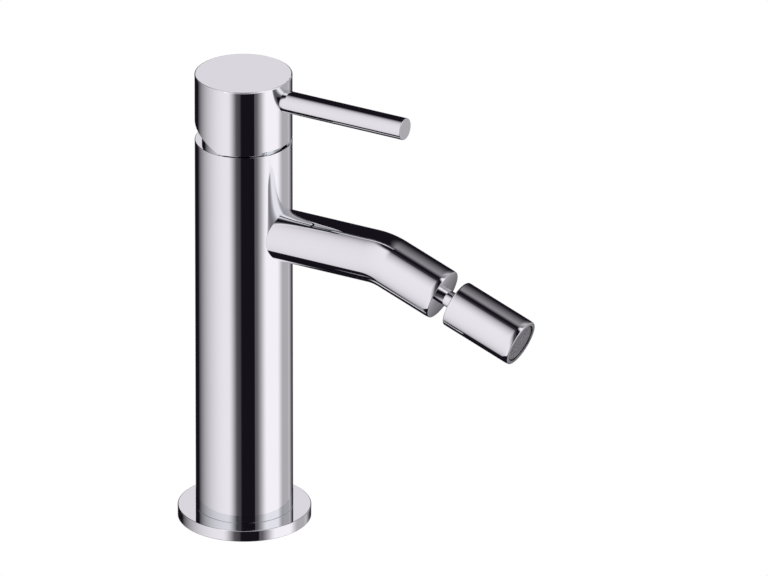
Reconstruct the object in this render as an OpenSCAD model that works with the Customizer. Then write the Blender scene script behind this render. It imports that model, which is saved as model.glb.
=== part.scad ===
// Bidet mixer: a slim turned column on a round plate, a cap handle with a rod lever,
// a bent spout and a ball-jointed outlet nozzle. Millimetres, +Z up, +X along the spout.
// The origin is the centre of the plate's underside, where it stands on the deck.

/* [Base plate] */
// Diameter of the plate on the deck
plate_d = 48; // [44:0.5:70]
// Thickness of the plate
plate_t = 4.3; // [3.8:0.1:7]
// Radius on the plate's edges
plate_edge = 0.3; // [0.1:0.05:0.8]
// Mean diameter of the gasket in the plate's underside
gasket_d = 39; // [37.5:0.5:40.5]
// Width of the gasket
gasket_w = 3; // [1.5:0.1:3.5]
// Thickness of the gasket
gasket_t = 1.8; // [1:0.1:2]

/* [Column] */
// Diameter of the column and of the handle cap
column_d = 35; // [33.6:0.2:38]
// Height of the column above the plate
column_h = 143; // [125:1:200]
// Diameter of the column's foot inside the plate
foot_d = 30; // [28.5:0.1:31]
// How far the foot stays above the deck
foot_recess = 0.5; // [0.2:0.1:1]
// Section of the ring that holds the plate on the foot
foot_ring = 1.4; // [1:0.1:1.8]
// Core diameter of the M10x1 hose inlets
inlet_d = 9; // [7:0.1:9.5]
// Depth of the hose inlets
inlet_depth = 14; // [8:0.5:20]
// Distance between the two hose inlets
inlet_spacing = 13.2; // [12.6:0.1:13.6]
// How far the inlets lie in front of the column's axis
inlet_forward = 3; // [2:0.1:3.4]
// Diameter of the hot and cold waterways
waterway_d = 4.4; // [3:0.1:4.8]
// Core diameter of the M8 fixing stud's hole
stud_hole_d = 6.8; // [5:0.1:7]
// Depth of the fixing stud's hole
stud_hole_depth = 20; // [10:1:40]
// How far the stud's hole lies behind the column's axis
stud_back = 8.5; // [8:0.1:9]

/* [Spout] */
// Diameter of the spout
spout_d = 19; // [17:0.5:22]
// Wall of the spout
spout_wall = 1.5; // [1:0.1:2.5]
// Depth of the spout's axis below the column's top
spout_drop = 33.8; // [33:0.5:60]
// Distance from the column's axis to the corner of the bend
spout_reach = 57.6; // [45:0.5:90]
// Angle of the bend
spout_bend = 20; // [5:1:40]
// Radius of the bend at the spout's axis
bend_r = 23; // [20:1:40]
// Length from the corner of the bend to the end face
spout_leg = 26; // [22:0.5:50]
// Length over which the spout rolls in before its end face
spout_roll = 1.9; // [1:0.1:4]
// Thickness of the spout's end wall
end_wall = 5; // [4.2:0.1:8]
// Diameter of the spigot in the column
spigot_d = 12.8; // [11:0.1:13.4]
// Length of the spigot inside the column's skin
spigot_l = 9; // [7:0.1:9.6]
// Bore of the spigot
spigot_bore = 7.6; // [5:0.1:8]
// Section of the spigot's ring
spigot_ring = 1.2; // [0.8:0.05:1.3]

/* [Nozzle] */
// Diameter of the neck between spout and nozzle
neck_d = 6; // [5:0.1:6.2]
// Visible length of the neck
neck_l = 6; // [5:0.1:10]
// Bore of the neck
neck_bore = 3; // [2:0.1:3.4]
// Section of the ring round the neck in the end wall
neck_ring = 1.1; // [0.8:0.05:1.3]
// Diameter of the ball
ball_d = 12; // [11.8:0.1:12.2]
// Depth of the ball's centre behind the nozzle's rear face
ball_depth = 6.5; // [6.2:0.1:7]
// Wall of the ball's seats
seat_t = 0.9; // [0.7:0.05:1]
// Diameter of the nozzle
nozzle_d = 17.5; // [17.3:0.1:20]
// Length of the nozzle
nozzle_l = 28.2; // [26:0.2:40]
// Radius on the nozzle's rear edge
nozzle_rear_round = 0.5; // [0.3:0.1:1.4]
// Length over which the nozzle rolls in before its front
nozzle_roll = 2; // [1:0.1:3]
// Wall of the nozzle round the aerator
nozzle_wall = 1.5; // [1.2:0.05:1.6]
// Swing of the nozzle each way, on each of its two axes
nozzle_swing = 15; // [5:1:15]
// Dark gap between the nozzle's rim and the aerator's grid
rim_gap = 0.35; // [0.2:0.05:0.6]
// How far the grid lies behind the nozzle's front face
grid_recess = 0.4; // [0.2:0.1:1]
// Thickness of the grid
grid_t = 0.4; // [0.3:0.1:0.8]
// Distance between the grid's holes
grid_pitch = 1.2; // [1.1:0.05:2]
// Diameter of the grid's holes
grid_hole = 0.9; // [0.4:0.05:1]

/* [Handle] */
// Gap between the column and the handle cap
cap_gap = 0.4; // [0.3:0.05:1]
// Height of the handle cap
cap_h = 25.1; // [24.5:0.1:32]
// Wall of the cap's skirt
cap_wall = 2.1; // [1.6:0.05:2.2]
// Thickness of the cap's solid head
cap_head = 12.8; // [11.5:0.1:13.2]
// Radius on the cap's top edge
cap_edge = 0.45; // [0.2:0.05:1]
// Lift of the lever from closed to fully open
lift = 25; // [15:1:25]
// Extra angle of the skirt's rear cut beyond the lift
cut_margin = 0.5; // [0.2:0.1:2]
// Where the notch in the front of the skirt starts, in front of the axis
notch_start = 13.7; // [10:0.1:15]
// Height of the notch
notch_h = 1.1; // [0.3:0.1:2]
// Depth of the boss below the cap's head
boss_drop = 3.5; // [2:0.1:3.7]
// Diameter of the boss
boss_d = 15; // [13.4:0.1:15.4]
// Diameter of the rod lever
lever_d = 8; // [6.8:0.1:9]
// Distance from the column's axis to the lever's tip
lever_reach = 66.6; // [40:1:120]
// Depth of the lever's axis below the cap's top
lever_drop = 7.1; // [6.2:0.1:7.5]
// Diameter of the lever's threaded end and of the grub screw
lever_thread = 6; // [4:0.5:6]
// Depth of the lever's seat in the cap's side
lever_seat = 3.2; // [2.2:0.1:4]
// Radius on the lever's tip
lever_edge = 0.2; // [0.1:0.05:0.6]

/* [Cartridge] */
// Diameter of the cartridge
cartridge_d = 25; // [24.6:0.1:25.4]
// Wall of the cartridge's housing
housing_wall = 1.2; // [0.9:0.05:1.3]
// Thickness of the nut's threaded ring
nut_t = 4.2; // [3:0.1:5]
// Thickness of each ceramic disc
disc_t = 3; // [2.5:0.1:3.5]
// Thickness of the cartridge's base
ports_t = 5; // [4:0.1:5.5]
// Width of the square spindle
spindle_w = 6; // [5:0.1:6.2]
// Distance from the spindle's pivot to its ball tip
spindle_arm = 9.5; // [9.2:0.1:10]
// Diameter of the pivot pin
pin_d = 3; // [2:0.1:3.4]
// Diameter of the spindle's ball tip
tip_d = 4.8; // [4:0.1:5]
// Diameter of the slotted guide
guide_d = 16; // [15.6:0.1:16.4]
// Height of the collar's upright wall
collar_h = 2.5; // [1.5:0.1:3]
// Height of the collar
collar_top = 4.5; // [4.2:0.1:4.7]

/* [Fits] */
// Size of a broken edge
edge_break = 0.25; // [0.1:0.05:0.4]
// Angle at which a rolled end meets its flat face
roll_angle = 11; // [6:1:16]
// Radial clearance of a running fit
running = 0.05; // [0.02:0.01:0.09]
// Clearance between parts that are put together loosely
slack = 0.2; // [0.15:0.01:0.25]

/* [Hidden] */
$fn = 96;
// How far a cutting shape runs past what it cuts
over = 1;
// Sides of a hexagon
hex = 6;

// Column
column_r = column_d / 2;
column_top = plate_t + column_h;
foot_r = foot_d / 2;
foot_groove_r = foot_r - foot_ring + running;
foot_groove_z = (plate_t + foot_recess) / 2;
inlet_y = inlet_spacing / 2;

// Spout
spout_r = spout_d / 2;
spout_bore_r = spout_r - spout_wall;
spout_z = column_top - spout_drop;
spout_tangent = bend_r * tan(spout_bend / 2);
// The straight legs lap a little over the bend, which is a hair thinner
bend_lap = 0.4;
bend_ease = 0.02;
spigot_r = spigot_d / 2;
socket_r = spigot_r + 2 * running;
spigot_x = column_r - spigot_l;
socket_x = spigot_x - slack;
spigot_land = 1.2;
spigot_ring_x = spigot_x + spigot_land + spigot_ring;
spout_root = 5;
spout_root_x = column_r + spout_root;
neck_r = neck_d / 2;
neck_ring_z = spout_leg - end_wall / 2;

// Nozzle, along its own axis from the ball's centre
ball_r = ball_d / 2;
nozzle_r = nozzle_d / 2;
nozzle_rear = -ball_depth;
nozzle_front = nozzle_rear + nozzle_l;
spout_end = nozzle_rear - neck_l;
ball_leg = spout_leg - spout_end;
seat_in = ball_r + running;
seat_out = seat_in + seat_t;
socket_ball_r = seat_out + running;
bore_r = nozzle_r - nozzle_wall;
// Largest tilt of the nozzle, with both of its axes at their limits
tilt = acos(pow(cos(nozzle_swing), 2));
mouth_r = neck_r / cos(tilt) + ball_depth * tan(tilt) + slack;
// Angles of the ball's seats, counted from the rear of the nozzle's axis
throat_angle = 48;
seat_from = 49;
seat_to = 82.5;
seal_from = 118.6;
throat_r = socket_ball_r * sin(throat_angle);
throat_z = -socket_ball_r * cos(throat_angle);
seat_rear = -seat_in * cos(seat_from);
seat_front = -seat_in * cos(seat_to);
seal_l = 1.5;
seal_rear = -seat_in * cos(seal_from);
seal_front = seal_rear + seal_l;
seal_room = 0.7;
step_z = seal_rear - seal_room;
ball_face = 1;
ball_flat = ball_r - ball_face;
ring_room = 0.45;
ring_hole_r = sqrt(pow(seat_in, 2) - pow(seal_front, 2)) + ring_room;
ball_room = 3;
ring_front = ball_r + ball_room;
washer_t = 1.5;
washer_front = ring_front + washer_t;
jets_t = 1.5;
jets_front = washer_front + jets_t;
ledge_t = 0.8;
aerator_wall = 0.5;
aerator_r = bore_r - running;
grid_front = nozzle_front - grid_recess;
grid_rear = grid_front - grid_t;
grid_r = bore_r - rim_gap;
aerator_nose = 0.8;
aerator_step = grid_rear - aerator_nose;
jets = 12;
jet_r = 0.5;

// Handle, tilting about a pin level with the column's top
pivot_z = column_top;
cap_bottom = column_top + cap_gap;
cap_top = cap_bottom + cap_h;
cap_bore_r = column_r - cap_wall;
cap_ceiling = cap_top - cap_head;
cap_crown = 3.3;
boss_bottom = cap_ceiling - boss_drop;
adaptor_wall = 1.2;
adaptor_r = spindle_w / sqrt(2) + adaptor_wall;
spindle_bore_r = adaptor_r + running;
spindle_bore_top = cap_top - cap_crown;
spindle_room = 1;
spindle_top = spindle_bore_top - spindle_room;
spindle_block = 4;
spindle_foot = pivot_z - spindle_block;
spindle_arm_r = 2.2;
lever_z = cap_top - lever_drop;
lever_r = lever_d / 2;
thread_r = lever_thread / 2;
lever_x = column_r - lever_seat;
grub_l = 7;
grub_x0 = spindle_w / 2 + running;
grub_x1 = grub_x0 + grub_l;
hex_key = 1.7;
hex_depth = 2.5;

// Cartridge, stacked down from the nut
cartridge_r = cartridge_d / 2;
chamber_r = cartridge_r + running;
nut_thread = 1.45;
nut_r = cartridge_r + nut_thread;
nut_bore_r = nut_r + running;
nut_sink = 0.3;
nut_top = column_top - nut_sink;
shoulder_z = nut_top - nut_t;
housing_roof = 1.5;
cavity_r = cartridge_r - housing_wall;
cavity_top = shoulder_z - housing_roof;
guide_r = guide_d / 2;
neck_bore_r = guide_r + running;
neck_wall = 1.4;
housing_neck_r = neck_bore_r + neck_wall;
nut_hole_r = housing_neck_r + 2 * running;
neck_rise = 4;
housing_top = pivot_z + neck_rise;
guide_rise = 5;
guide_top = pivot_z + guide_rise;
flange_t = 1.2;
flange_r = cavity_r - 2 * running;
flange_top = cavity_top - 2 * running;
flange_bottom = flange_top - flange_t;
tip_r = tip_d / 2;
tip_z = pivot_z - spindle_arm;
carrier_bottom = tip_z - tip_r - slack;
carrier_top = flange_bottom - slack;
// How far the spindle's arm leans at the carrier's top when the lever is up
tip_lean = (carrier_top - tip_z) * tan(lift);
disc_top = carrier_bottom;
disc_seat = disc_top - disc_t;
fixed_seat = disc_seat - disc_t;
chamber_floor = fixed_seat - ports_t;
disc_travel = spindle_arm * sin(lift);
disc_x = -disc_travel / 2;
disc_r = cavity_r - disc_travel / 2 - slack / 2;
carrier_step = 1.5;
carrier_r = disc_r - carrier_step;
flat_y = carrier_r - carrier_step;
lug_x = 4;
lug_t = 3;
lug_y = flat_y + 3 * running;
peg_r = 1;
peg_h = 1;
peg_y = 5;
slot_x = 6.5;
slot_w = spindle_w + 2 * slack;
pin_half = guide_r - slack * 3;
// Ports: the outlet lies on the axis, the inlets to either side of the front
port_r = 1.7;
port_out_r = 2.2;
port_ring = 5.8;
port_angle = 45;
port_x = port_ring * cos(port_angle);
port_y = port_ring * sin(port_angle);
mix_r = 3.4;
mix_depth = 1.6;
seal_land = 0.3;
seal_in = port_out_r + seal_land;
seal_w = 0.85;
seal_t = 1.2;
// Collar over the nut
hex_neck_wall = 1.9;
hex_neck_r = housing_neck_r + hex_neck_wall;
hex_neck_rise = 2;
hex_neck_top = column_top + hex_neck_rise;
collar_swing = 0.5;
collar_r = cap_bore_r - collar_swing;
collar_bore_r = hex_neck_r + slack;
collar_room = 0.8;
collar_hole_r = housing_neck_r + collar_room;
collar_lip = 1.2;
collar_slope = 0.6;

chrome = "gainsboro";
rubber = "dimgray";
plastic = "whitesmoke";
ceramic = "ivory";
brass = "goldenrod";
steel = "silver";

// What lies outside a quarter circle of radius f
module corner(f) {
    difference() {
        square(f + over);
        circle(f);
    }
}

// Turned bar from z0 to z1 with rounded lower and upper edges
module turned(r, z0, z1, low = 0, high = 0) {
    rotate_extrude()
        difference() {
            translate([0, z0]) square([r, z1 - z0]);
            if (low > 0) translate([r - low, z0 + low]) mirror([0, 1]) corner(low);
            if (high > 0) translate([r - high, z1 - high]) corner(high);
        }
}

// Turned bar from z0 to z1 whose upper end tapers in over a length before a broken edge
module rolled(r, z0, z1, low, roll) {
    end_r = r - roll * tan(roll_angle / 2);
    rotate_extrude()
        difference() {
            polygon([[0, z0], [r, z0], [r, z1 - roll], [end_r, z1 - edge_break],
                     [end_r - edge_break, z1], [0, z1]]);
            if (low > 0) translate([r - low, z0 + low]) mirror([0, 1]) corner(low);
        }
}

// Round bar from z0 to z1
module bar(r, z0, z1) {
    translate([0, 0, z0]) cylinder(r = r, h = z1 - z0);
}

// Plain ring from z0 to z1
module ring(outer, inner, z0, z1) {
    difference() {
        bar(outer, z0, z1);
        bar(inner, z0 - over, z1 + over);
    }
}

// Ring of round section
module oring(middle, section) {
    rotate_extrude() translate([middle, 0]) circle(section / 2);
}

// Places what stands along Z so that it runs along +X at height z
module along_x(z) {
    translate([0, 0, z]) rotate([0, 90, 0]) children();
}

// Axis of the handle's pivot pin
module along_pin() {
    translate([0, 0, pivot_z]) rotate([90, 0, 0]) children();
}

// Axis of the second spout leg, from the corner of the bend
module along_leg() {
    translate([spout_reach, 0, spout_z]) rotate([0, 90 + spout_bend, 0]) children();
}

// Nozzle's own axis, from the ball's centre
module at_ball() {
    along_leg() translate([0, 0, ball_leg]) children();
}

// Both hose inlets
module at_inlets() {
    for (side = [-1, 1]) translate([inlet_forward, side * inlet_y, 0]) children();
}

// Both inlet ports of the discs
module at_ports() {
    for (side = [-1, 1]) translate([port_x, side * port_y, 0]) children();
}

// Gasket, or its groove when grown by a clearance
module gasket_ring(grow, z0) {
    ring((gasket_d + gasket_w) / 2 + grow, (gasket_d - gasket_w) / 2 - grow, z0, gasket_t);
}

module base_plate() {
    color(chrome)
        difference() {
            turned(plate_d / 2, 0, plate_t, plate_edge, plate_edge);
            bar(foot_r + 2 * running, -over, plate_t + over);
            gasket_ring(running, -over);
        }
}

module base_gasket() {
    color(rubber) gasket_ring(0, 0);
}

module column_oring() {
    color(rubber)
        translate([0, 0, foot_groove_z]) oring(foot_r - foot_ring / 2 + running, foot_ring - running);
}

module body_column() {
    groove_half = foot_ring / 2 + running;
    color(chrome)
        difference() {
            union() {
                turned(column_r, plate_t, column_top, edge_break, edge_break);
                bar(foot_r, foot_recess, plate_t + over);
            }
            ring(foot_r + over, foot_groove_r, foot_groove_z - groove_half, foot_groove_z + groove_half);
            bar(nut_bore_r, shoulder_z - over, column_top + over);
            bar(chamber_r, chamber_floor, column_top);
            bar(port_out_r, spout_z, chamber_floor + over);
            along_x(spout_z) bar(port_out_r, 0, socket_x + over);
            along_x(spout_z) bar(socket_r, socket_x, column_r + over);
            at_inlets() {
                bar(inlet_d / 2, foot_recess - over, foot_recess + inlet_depth);
                bar(waterway_d / 2, foot_recess, chamber_floor + over);
            }
            translate([-stud_back, 0, 0])
                bar(stud_hole_d / 2, foot_recess - over, foot_recess + stud_hole_depth);
        }
}

// Bend of the spout as a rod of radius r
module spout_elbow(r) {
    translate([spout_reach - spout_tangent, 0, spout_z - bend_r])
        rotate([90, 0, 0])
            rotate([0, 0, 90 - spout_bend])
                rotate_extrude(angle = spout_bend) translate([bend_r, 0]) circle(r);
}

module spout_tube() {
    ring_groove = spigot_r - spigot_ring + running;
    ring_half = spigot_ring / 2 + running;
    neck_half = neck_ring / 2 + running;
    color(chrome)
        difference() {
            union() {
                difference() {
                    along_x(spout_z) bar(spout_r, 0, spout_reach - spout_tangent + bend_lap);
                    bar(column_r + running / 2, 0, column_top);
                }
                along_x(spout_z) bar(spigot_r, spigot_x, spout_root_x);
                spout_elbow(spout_r - bend_ease);
                along_leg() rolled(spout_r, spout_tangent - bend_lap, spout_leg, 0, spout_roll);
            }
            along_x(spout_z) {
                bar(spout_bore_r, spout_root_x, spout_reach - spout_tangent + bend_lap);
                bar(spigot_bore / 2, spigot_x - over, spout_root_x + over);
                ring(spigot_r + over, ring_groove, spigot_ring_x - ring_half, spigot_ring_x + ring_half);
            }
            spout_elbow(spout_bore_r + bend_ease);
            along_leg() {
                bar(spout_bore_r, spout_tangent - bend_lap, spout_leg - end_wall);
                bar(neck_r + running, spout_leg - end_wall - over, spout_leg + over);
                bar(neck_r + neck_ring, neck_ring_z - neck_half, neck_ring_z + neck_half);
            }
        }
}

module spout_oring() {
    color(rubber)
        along_x(spout_z) translate([0, 0, spigot_ring_x])
            oring(spigot_r - spigot_ring / 2 + running, spigot_ring - running);
}

module ball_stud() {
    color(chrome)
        at_ball() difference() {
            union() {
                bar(neck_r, spout_end - end_wall - over, 0);
                intersection() {
                    sphere(r = ball_r);
                    bar(ball_r + over, -ball_r, ball_flat);
                }
            }
            bar(neck_bore / 2, spout_end - end_wall - 2 * over, ball_r + over);
        }
}

module stud_oring() {
    color(rubber)
        along_leg() translate([0, 0, neck_ring_z])
            oring(neck_r + neck_ring / 2 + running / 2, neck_ring - running);
}

// One seal ring under the cartridge
module port_seal(grow) {
    bottom = chamber_floor - 2 * grow;
    ring(seal_in + seal_w + grow, seal_in - grow, bottom, chamber_floor + seal_t + grow);
}

module cartridge_seals() {
    color(rubber) {
        port_seal(0);
        at_inlets() port_seal(0);
    }
}

module cartridge_base() {
    half = chamber_floor + ports_t / 2;
    color(plastic)
        difference() {
            bar(cartridge_r, chamber_floor, fixed_seat);
            bar(port_out_r, chamber_floor - over, fixed_seat + over);
            at_inlets() bar(port_out_r, chamber_floor - over, half + over / 2);
            at_ports() bar(port_r, half, fixed_seat + over);
            port_seal(running);
            at_inlets() port_seal(running);
        }
}

module fixed_disc() {
    color(ceramic)
        difference() {
            bar(cavity_r - running, fixed_seat, disc_seat);
            bar(port_out_r, fixed_seat - over, disc_seat + over);
            at_ports() bar(port_r, fixed_seat - over, disc_seat + over);
        }
}

module cartridge_housing() {
    color(plastic)
        difference() {
            union() {
                bar(cartridge_r, fixed_seat, shoulder_z);
                bar(housing_neck_r, shoulder_z - over, housing_top);
            }
            bar(cavity_r, fixed_seat - over, cavity_top);
            bar(neck_bore_r, cavity_top - over, housing_top + over);
        }
}

module cartridge_nut() {
    color(brass)
        difference() {
            union() {
                bar(nut_r, shoulder_z, nut_top);
                translate([0, 0, nut_top - over])
                    cylinder(r = hex_neck_r, h = hex_neck_top - nut_top + over, $fn = hex);
            }
            bar(nut_hole_r, shoulder_z - over, hex_neck_top + over);
        }
}

module dome_collar() {
    lip_under = collar_top - collar_lip;
    color(chrome)
        translate([0, 0, column_top])
            rotate_extrude()
                polygon([[collar_r, 0], [collar_r, collar_h], [collar_hole_r, collar_top],
                         [collar_hole_r, lip_under], [collar_bore_r, lip_under - collar_slope],
                         [collar_bore_r, 0]]);
}

module stem_guide() {
    lug_bottom = carrier_bottom + 2 * slack;
    color(plastic)
        difference() {
            union() {
                bar(guide_r, flange_bottom, guide_top);
                bar(flange_r, flange_bottom, flange_top);
                intersection() {
                    bar(flange_r, lug_bottom, flange_top);
                    for (side = [-1, 1])
                        translate([-lug_x, side > 0 ? lug_y : -lug_y - lug_t, lug_bottom])
                            cube([2 * lug_x, lug_t, flange_top - lug_bottom]);
                }
            }
            translate([-slot_x, -slot_w / 2, flange_bottom - over])
                cube([2 * slot_x, slot_w, guide_top]);
            along_pin() bar(pin_d / 2 + running / 2, -pin_half, pin_half);
        }
}

module pivot_pin() {
    color(steel) along_pin() bar(pin_d / 2, -pin_half + running, pin_half - running);
}

module moving_disc() {
    color(ceramic)
        translate([disc_x, 0, 0])
            difference() {
                bar(disc_r, disc_seat, disc_top);
                bar(mix_r, disc_seat - over, disc_seat + mix_depth);
                for (side = [-1, 1])
                    translate([0, side * peg_y, 0])
                        bar(peg_r + running, disc_top - peg_h - slack, disc_top + over);
            }
}

module disc_carrier() {
    color(plastic)
        difference() {
            translate([disc_x, 0, 0]) {
                intersection() {
                    bar(carrier_r, carrier_bottom, carrier_top);
                    translate([-carrier_r, -flat_y, carrier_bottom])
                        cube([2 * carrier_r, 2 * flat_y, carrier_top - carrier_bottom]);
                }
                for (side = [-1, 1])
                    translate([0, side * peg_y, 0])
                        bar(peg_r, carrier_bottom - peg_h, carrier_bottom + over);
            }
            bar(tip_r + slack, carrier_bottom - over, carrier_top + over);
            translate([-tip_lean, 0, 0]) bar(tip_r + slack, tip_z, carrier_top + over);
        }
}

module spindle() {
    half = spindle_w / 2;
    color(steel)
        difference() {
            union() {
                translate([-half, -half, spindle_foot])
                    cube([spindle_w, spindle_w, spindle_top - spindle_foot]);
                bar(spindle_arm_r, tip_z, spindle_foot + over);
                translate([0, 0, tip_z]) sphere(r = tip_r);
            }
            along_pin() bar(pin_d / 2 + running, -spindle_w, spindle_w);
        }
}

module spindle_adaptor() {
    hole = spindle_w + 2 * running;
    color(plastic)
        difference() {
            bar(adaptor_r, boss_bottom, spindle_bore_top - slack);
            translate([-hole / 2, -hole / 2, boss_bottom - over]) cube([hole, hole, cap_h]);
            along_x(lever_z) bar(thread_r + 2 * running, 0, spindle_bore_r + over);
        }
}

// Room below the handle's skirt: a slope at the rear for the lift, and a notch in the front
module skirt_cuts() {
    reach = column_d;
    translate([0, 0, cap_bottom])
        rotate([0, lift + cut_margin, 0])
            translate([-reach, -reach, -reach]) cube([reach, 2 * reach, reach]);
    translate([notch_start, -reach, cap_bottom - over]) cube([reach, 2 * reach, notch_h + over]);
}

module handle_cap() {
    color(chrome)
        difference() {
            turned(column_r, cap_bottom, cap_top, edge_break, cap_edge);
            difference() {
                bar(cap_bore_r, cap_bottom - over, cap_ceiling);
                bar(boss_d / 2, boss_bottom, cap_ceiling + over);
            }
            bar(spindle_bore_r, boss_bottom - over, spindle_bore_top);
            along_x(lever_z) {
                bar(thread_r + running, 0, column_r);
                bar(lever_r + running, lever_x, column_r + over);
            }
            skirt_cuts();
        }
}

module grub_screw() {
    color(steel)
        along_x(lever_z)
            difference() {
                bar(thread_r, grub_x0, grub_x1);
                translate([0, 0, grub_x1 - hex_depth])
                    cylinder(r = hex_key, h = hex_depth + over, $fn = hex);
            }
}

module lever_rod() {
    color(chrome)
        along_x(lever_z) {
            bar(thread_r, grub_x1 + slack, lever_x + over);
            turned(lever_r, lever_x, lever_reach, 0, lever_edge);
        }
}

// Zone of a ball of radius r, between two planes across the nozzle's axis
module ball_zone(r, z0, z1) {
    intersection() {
        sphere(r = r);
        bar(r + over, z0, z1);
    }
}

module rear_seat() {
    color(plastic)
        at_ball() difference() {
            ball_zone(seat_out, seat_rear, seat_front);
            sphere(r = seat_in);
        }
}

module front_seal() {
    color(rubber)
        at_ball() difference() {
            bar(bore_r - slack, seal_rear, seal_front);
            sphere(r = seat_in);
        }
}

module nozzle_shell() {
    color(chrome)
        at_ball() difference() {
            rolled(nozzle_r, nozzle_rear, nozzle_front, nozzle_rear_round, nozzle_roll);
            ball_zone(socket_ball_r, throat_z, over / 2);
            bar(socket_ball_r, 0, step_z + over);
            bar(bore_r, step_z, nozzle_front + over);
            translate([0, 0, nozzle_rear])
                cylinder(r1 = mouth_r, r2 = throat_r, h = throat_z - nozzle_rear);
            bar(throat_r, throat_z - running, throat_z + over);
            bar(mouth_r, nozzle_rear - over, nozzle_rear);
        }
}

module seat_ring() {
    color(brass) at_ball() ring(bore_r - running, ring_hole_r, seal_front, ring_front);
}

module aerator_washer() {
    color(rubber) at_ball() ring(bore_r - slack, ring_hole_r, ring_front, washer_front);
}

module jet_disc() {
    color(plastic)
        at_ball() difference() {
            bar(aerator_r - aerator_wall - running, washer_front, jets_front);
            for (i = [0 : jets - 1])
                rotate([0, 0, i * 360 / jets])
                    translate([bore_r / 2, 0, 0]) bar(jet_r, washer_front - over, jets_front + over);
        }
}

module aerator_housing() {
    inner = aerator_r - aerator_wall;
    color(plastic)
        at_ball() difference() {
            union() {
                bar(aerator_r, washer_front, aerator_step);
                bar(grid_r, washer_front, grid_rear);
            }
            bar(inner, washer_front - over, jets_front);
            bar(inner - aerator_wall, washer_front, jets_front + ledge_t + over);
            bar(grid_r - aerator_wall, jets_front + ledge_t, nozzle_front);
        }
}

// Hexagonal grid of small holes
module aerator_mesh() {
    rows = ceil(grid_r / grid_pitch);
    field = grid_r - grid_hole;
    color(steel)
        at_ball() difference() {
            bar(grid_r, grid_rear, grid_front);
            for (i = [-rows : rows], j = [-rows : rows]) {
                x = (i + j / 2) * grid_pitch;
                y = j * grid_pitch * sin(60);
                if (norm([x, y]) < field)
                    translate([x, y, 0]) bar(grid_hole / 2, grid_rear - over, grid_front + over);
            }
        }
}

base_plate();
base_gasket();
column_oring();
body_column();
spout_tube();
spout_oring();
ball_stud();
stud_oring();
cartridge_seals();
cartridge_base();
fixed_disc();
cartridge_housing();
cartridge_nut();
dome_collar();
stem_guide();
pivot_pin();
moving_disc();
disc_carrier();
spindle();
spindle_adaptor();
handle_cap();
grub_screw();
lever_rod();
rear_seat();
front_seal();
nozzle_shell();
seat_ring();
aerator_washer();
jet_disc();
aerator_housing();
aerator_mesh();
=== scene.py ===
"""Dresses the bidet mixer: polished chrome outside, its working parts inside, and a studio."""

import math

import bmesh
import bpy
from mathutils import Matrix, Vector


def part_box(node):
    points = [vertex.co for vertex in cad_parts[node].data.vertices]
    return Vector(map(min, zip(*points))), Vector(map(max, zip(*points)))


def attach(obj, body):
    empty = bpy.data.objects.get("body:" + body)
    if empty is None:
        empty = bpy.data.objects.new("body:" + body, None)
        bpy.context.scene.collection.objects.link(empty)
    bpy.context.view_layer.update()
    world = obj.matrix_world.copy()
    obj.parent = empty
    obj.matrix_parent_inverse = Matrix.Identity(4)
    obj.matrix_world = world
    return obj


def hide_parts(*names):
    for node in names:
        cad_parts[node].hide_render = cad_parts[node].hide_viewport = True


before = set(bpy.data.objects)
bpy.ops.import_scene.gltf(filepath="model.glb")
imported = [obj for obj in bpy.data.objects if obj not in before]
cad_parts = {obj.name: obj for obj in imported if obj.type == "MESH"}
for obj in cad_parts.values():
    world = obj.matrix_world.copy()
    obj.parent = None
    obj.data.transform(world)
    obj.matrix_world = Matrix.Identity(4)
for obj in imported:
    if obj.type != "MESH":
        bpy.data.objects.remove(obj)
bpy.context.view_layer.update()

bl_info = {
    "name": "Bidet mixer looks",
    "version": (1, 0, 0),
    "blender": (4, 5, 0),
    "location": "View3D > Sidebar > Mixer",
    "description": "Finishes and studio of a bidet mixer with a lever cap and a swivelling nozzle",
    "category": "Object",
}

MM = 0.001
RIGHT_ANGLE, FULL_TURN = 90, 360
WHITE = (1, 1, 1, 1)
# Faces round a drawn piece, and the steps in one of its small arcs
SEGMENTS = 128
ARC_STEPS = 8
# A ring this close to a rounded edge keeps the shading of the long skin beside it straight
HOLD = 0.1 * MM
# Edges that bend more than this stay crisp
CRISP = math.radians(24)


# Settings

def length(name, description, millimetres):
    """A setting for a length, with its default in millimetres."""
    return bpy.props.FloatProperty(
        name=name, description=description, unit="LENGTH", default=millimetres * MM, min=0)


def degrees(name, description, angle):
    """A setting for an angle, with its default in degrees."""
    return bpy.props.FloatProperty(
        name=name, description=description, subtype="ANGLE", default=math.radians(angle))


def tint(name, description, red, green, blue):
    """A setting for a colour."""
    return bpy.props.FloatVectorProperty(
        name=name, description=description, subtype="COLOR", size=4,
        default=(red, green, blue, 1), min=0, max=1)


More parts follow.
